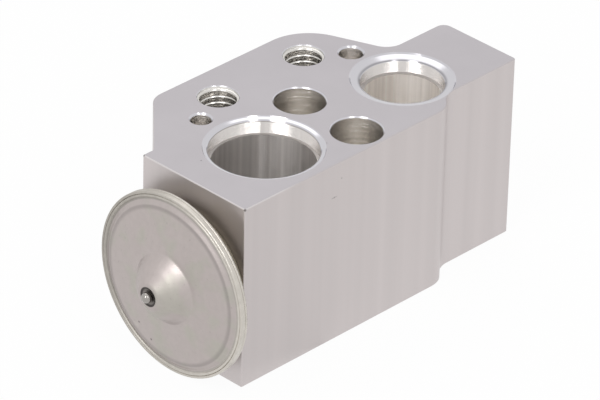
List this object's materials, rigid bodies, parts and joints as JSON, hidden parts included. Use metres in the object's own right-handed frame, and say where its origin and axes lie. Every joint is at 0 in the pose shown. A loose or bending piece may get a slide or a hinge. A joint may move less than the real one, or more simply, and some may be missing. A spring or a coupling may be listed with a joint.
{
  "type": "thermostatic expansion valve",
  "caption": "Block-type thermostatic expansion valve: drilled aluminium block with refrigerant ports, a diaphragm capsule on its head end and an adjusting screw in its tail.",
  "frame": {"origin": "on the bottom port face, midway between the two clamp screw holes", "axes": "+X along the valve's axis from the capsule to the adjusting screw, +Y towards the wing with the threaded holes, +Z along the ports from the bottom face to the top face"},
  "size_m": [0.0676, 0.0346, 0.0292],
  "materials": {
    "block": "extruded and milled, matte",
    "capsule": "pressed stainless sheet, satin",
    "plug": "bright steel",
    "neck": "turned steel",
    "spring_sheet": "thin spring steel",
    "turned_brass": "turned brass",
    "rod": "turned aluminium",
    "hard_steel": "ground steel",
    "screw": "turned aluminium",
    "seal": "nitrile rubber"
  },
  "bodies": {
    "housing": {"valve_block": "block", "orifice_seat": "hard_steel", "capsule_outer_cover": "capsule", "charge_plug": "plug", "capsule_inner_cover": "capsule", "capsule_neck": "neck", "diaphragm": "spring_sheet", "capsule_gasket": "seal", "rod_seal": "seal", "rod_seal_washer": "hard_steel", "rod_seal_retainer": "spring_sheet", "valve_spring": "hard_steel"},
    "valve_train": {"stop_plate": "turned_brass", "sensing_rod": "rod", "push_pin": "hard_steel", "valve_ball": "hard_steel", "ball_carrier": "turned_brass", "damping_spring": "spring_sheet"},
    "adjuster_carriage": {"adjuster_o_ring": "seal"},
    "adjuster": {"adjusting_screw": "screw"}
  },
  "joints": [
    {"name": "valve_lift", "type": "slide", "parent": "housing", "child": "valve_train", "axis": [1, 0, 0], "range_m": [0, 0.0005], "stiffness_N_per_m": 300, "springref_m": -0.0005, "deforming": ["diaphragm", "valve_spring"]},
    {"name": "adjuster_travel", "type": "slide", "parent": "housing", "child": "adjuster_carriage", "axis": [1, 0, 0], "range_m": [-0.001, 0.001], "deforming": ["valve_spring"]},
    {"name": "adjuster_turn", "type": "hinge", "parent": "adjuster_carriage", "child": "adjuster", "pos_m": [0.026, 0, 0.0141], "axis": [1, 0, 0], "range_deg": [-360, 360], "deforming": ["valve_spring"]}
  ],
  "couplings": [
    {"joint": "adjuster_turn", "follows": "adjuster_travel", "rad_per_m": 6283.2}
  ]
}
